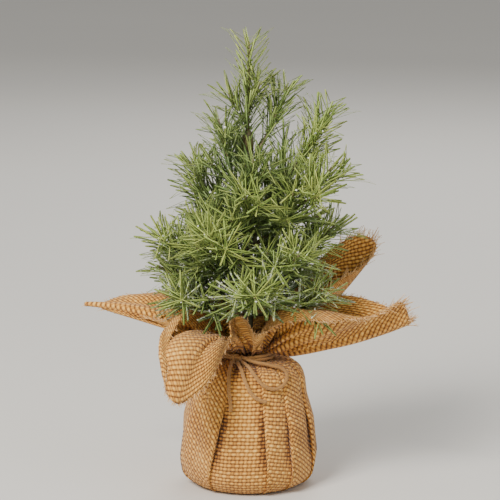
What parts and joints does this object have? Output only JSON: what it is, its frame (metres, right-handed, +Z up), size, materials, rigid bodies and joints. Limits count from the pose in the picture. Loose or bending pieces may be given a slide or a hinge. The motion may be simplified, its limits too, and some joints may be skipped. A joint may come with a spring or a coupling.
{
  "type": "artificial tabletop tree",
  "caption": "Small artificial evergreen with bendable needle sprays on a wire trunk, in a weighted base wrapped in burlap and tied with twine.",
  "frame": {"origin": "middle of the flat underside of the wrapped base, under the trunk", "axes": "+Z up along the trunk; -Y is the front, where the twine is tied; +X is to the right of someone who faces the front"},
  "size_m": [0.1774, 0.1152, 0.254],
  "materials": {
    "foliage": "soft moulded polyethylene, satin, lighter at the needle tips",
    "branch_wire": "annealed wire",
    "rod_steel": "drawn rod",
    "sleeve_plastic": "matt brown",
    "floral_tape": "waxed crepe paper, wound",
    "shell_plastic": "plain moulded",
    "cement": "cast",
    "fibre_board": "pressed fibre",
    "burlap": "plain open jute weave",
    "jute_twine": "two-ply twisted jute"
  },
  "bodies": {
    "stand": {"base_board": "fibre_board", "base_shell": "shell_plastic", "cement_fill": "cement", "trunk_rod": "rod_steel", "trunk_sleeve": "sleeve_plastic", "trunk_tape": "floral_tape", "leader_spray": "foliage", "burlap_wrap": "burlap", "twine_band": "jute_twine", "twine_knot": "jute_twine", "bow_loop": "jute_twine", "tail_left": "jute_twine", "tail_right": "jute_twine"},
    "branch_01": {"spray_01": "foliage", "branch_wire_01": "branch_wire"},
    "branch_02": {"spray_02": "foliage", "branch_wire_02": "branch_wire"},
    "branch_03": {"spray_03": "foliage", "branch_wire_03": "branch_wire"},
    "branch_04": {"spray_04": "foliage", "branch_wire_04": "branch_wire"},
    "branch_05": {"spray_05": "foliage", "branch_wire_05": "branch_wire"},
    "branch_06": {"spray_06": "foliage", "branch_wire_06": "branch_wire"},
    "branch_07": {"spray_07": "foliage", "branch_wire_07": "branch_wire"},
    "branch_08": {"spray_08": "foliage", "branch_wire_08": "branch_wire"},
    "branch_09": {"spray_09": "foliage", "branch_wire_09": "branch_wire"},
    "branch_10": {"spray_10": "foliage", "branch_wire_10": "branch_wire"},
    "branch_11": {"spray_11": "foliage", "branch_wire_11": "branch_wire"},
    "branch_12": {"spray_12": "foliage", "branch_wire_12": "branch_wire"},
    "branch_13": {"spray_13": "foliage", "branch_wire_13": "branch_wire"},
    "branch_14": {"spray_14": "foliage", "branch_wire_14": "branch_wire"},
    "branch_15": {"spray_15": "foliage", "branch_wire_15": "branch_wire"},
    "branch_16": {"spray_16": "foliage", "branch_wire_16": "branch_wire"},
    "branch_17": {"spray_17": "foliage", "branch_wire_17": "branch_wire"},
    "branch_18": {"spray_18": "foliage", "branch_wire_18": "branch_wire"},
    "branch_19": {"spray_19": "foliage", "branch_wire_19": "branch_wire"},
    "branch_20": {"spray_20": "foliage", "branch_wire_20": "branch_wire"},
    "branch_21": {"spray_21": "foliage", "branch_wire_21": "branch_wire"},
    "branch_22": {"spray_22": "foliage", "branch_wire_22": "branch_wire"},
    "branch_23": {"spray_23": "foliage", "branch_wire_23": "branch_wire"}
  },
  "joints": [
    {"name": "branch_01_bend", "type": "hinge", "parent": "stand", "child": "branch_01", "pos_m": [0.00348, -0.00235, 0.0948], "axis": [-0.5592, -0.829, 0], "range_deg": [-6, 7]},
    {"name": "branch_02_bend", "type": "hinge", "parent": "stand", "child": "branch_02", "pos_m": [0.00029, -0.00419, 0.09957], "axis": [-0.9976, -0.0698, 0], "range_deg": [-6, 7]},
    {"name": "branch_03_bend", "type": "hinge", "parent": "stand", "child": "branch_03", "pos_m": [-0.0034, -0.00247, 0.0948], "axis": [-0.5878, 0.809, 0], "range_deg": [-6, 7]},
    {"name": "branch_04_bend", "type": "hinge", "parent": "stand", "child": "branch_04", "pos_m": [-0.00399, 0.0013, 0.09957], "axis": [0.309, 0.9511, 0], "range_deg": [-6, 7]},
    {"name": "branch_05_bend", "type": "hinge", "parent": "stand", "child": "branch_05", "pos_m": [-0.00087, 0.00411, 0.0948], "axis": [0.9781, 0.2079, 0], "range_deg": [-6, 7]},
    {"name": "branch_06_bend", "type": "hinge", "parent": "stand", "child": "branch_06", "pos_m": [0.00297, 0.00297, 0.09957], "axis": [0.7071, -0.7071, 0], "range_deg": [-6, 5]},
    {"name": "branch_07_bend", "type": "hinge", "parent": "stand", "child": "branch_07", "pos_m": [0.00416, -0.00059, 0.11545], "axis": [-0.1392, -0.9903, 0], "range_deg": [-6, 7]},
    {"name": "branch_08_bend", "type": "hinge", "parent": "stand", "child": "branch_08", "pos_m": [0.00223, -0.00356, 0.10909], "axis": [-0.848, -0.5299, 0], "range_deg": [-6, 7]},
    {"name": "branch_09_bend", "type": "hinge", "parent": "stand", "child": "branch_09", "pos_m": [-0.00171, -0.00384, 0.11545], "axis": [-0.9135, 0.4067, 0], "range_deg": [-6, 7]},
    {"name": "branch_10_bend", "type": "hinge", "parent": "stand", "child": "branch_10", "pos_m": [-0.00415, -0.00066, 0.10909], "axis": [-0.1564, 0.9877, 0], "range_deg": [-6, 7]},
    {"name": "branch_11_bend", "type": "hinge", "parent": "stand", "child": "branch_11", "pos_m": [-0.00281, 0.00312, 0.11545], "axis": [0.7431, 0.6691, 0], "range_deg": [-6, 4]},
    {"name": "branch_12_bend", "type": "hinge", "parent": "stand", "child": "branch_12", "pos_m": [0.00116, 0.00404, 0.10909], "axis": [0.9613, -0.2756, 0], "range_deg": [-4, 7]},
    {"name": "branch_13_bend", "type": "hinge", "parent": "stand", "child": "branch_13", "pos_m": [-0.00015, -0.0042, 0.13133], "axis": [-0.9994, 0.0349, 0], "range_deg": [-6, 5]},
    {"name": "branch_14_bend", "type": "hinge", "parent": "stand", "child": "branch_14", "pos_m": [-0.0034, -0.00247, 0.12339], "axis": [-0.5878, 0.809, 0], "range_deg": [-6, 4]},
    {"name": "branch_15_bend", "type": "hinge", "parent": "stand", "child": "branch_15", "pos_m": [-0.00407, 0.00102, 0.13768], "axis": [0.2419, 0.9703, 0], "range_deg": [-6, 7]},
    {"name": "branch_16_bend", "type": "hinge", "parent": "stand", "child": "branch_16", "pos_m": [-0.00204, 0.00367, 0.1218], "axis": [0.8746, 0.4848, 0], "range_deg": [-6, 6]},
    {"name": "branch_17_bend", "type": "hinge", "parent": "stand", "child": "branch_17", "pos_m": [0.00184, 0.00378, 0.13291], "axis": [0.8988, -0.4384, 0], "range_deg": [-6, 7]},
    {"name": "branch_18_bend", "type": "hinge", "parent": "stand", "child": "branch_18", "pos_m": [0.00367, -0.00204, 0.1345], "axis": [-0.4848, -0.8746, 0], "range_deg": [-6, 7]},
    {"name": "branch_19_bend", "type": "hinge", "parent": "stand", "child": "branch_19", "pos_m": [0.00414, 0.00073, 0.15197], "axis": [0.1736, -0.9848, 0], "range_deg": [-6, 7]},
    {"name": "branch_20_bend", "type": "hinge", "parent": "stand", "child": "branch_20", "pos_m": [-0.00389, -0.00157, 0.15832], "axis": [-0.3746, 0.9272, 0], "range_deg": [-6, 7]},
    {"name": "branch_21_bend", "type": "hinge", "parent": "stand", "child": "branch_21", "pos_m": [0.00044, -0.00418, 0.14721], "axis": [-0.9945, -0.1045, 0], "range_deg": [-6, 7]},
    {"name": "branch_22_bend", "type": "hinge", "parent": "stand", "child": "branch_22", "pos_m": [-0.00059, 0.00416, 0.15038], "axis": [0.9903, 0.1392, 0], "range_deg": [-6, 7]},
    {"name": "branch_23_bend", "type": "hinge", "parent": "stand", "child": "branch_23", "pos_m": [0.00407, 0.00102, 0.18373], "axis": [0.2419, -0.9703, 0], "range_deg": [-6, 7]}
  ]
}
